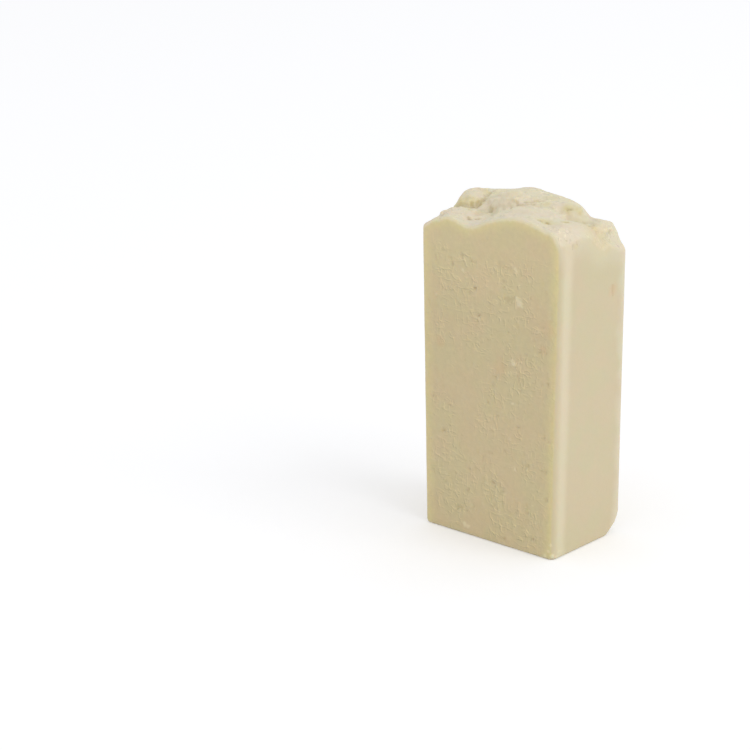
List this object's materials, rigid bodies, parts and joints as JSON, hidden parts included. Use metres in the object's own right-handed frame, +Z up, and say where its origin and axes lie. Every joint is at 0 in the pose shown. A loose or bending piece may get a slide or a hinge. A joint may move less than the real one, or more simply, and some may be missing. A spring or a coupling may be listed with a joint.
{
  "type": "bar of soap",
  "caption": "Tall hand-cut block of plain pale soap with a rough, heaped crust on top, two flat cut faces and one knocked-off bottom edge.",
  "frame": {"origin": "middle of the base, the end that the bar stands on", "axes": "+Z up through the bar to its rough crust, +Y through its thickness from the front cut to the back cut, +X across its width"},
  "size_m": [0.0483, 0.0306, 0.0939],
  "materials": {
    "soap": "matt, slightly waxy and translucent"
  },
  "bodies": {
    "root": {"soap_bar": "soap"}
  },
  "joints": []
}
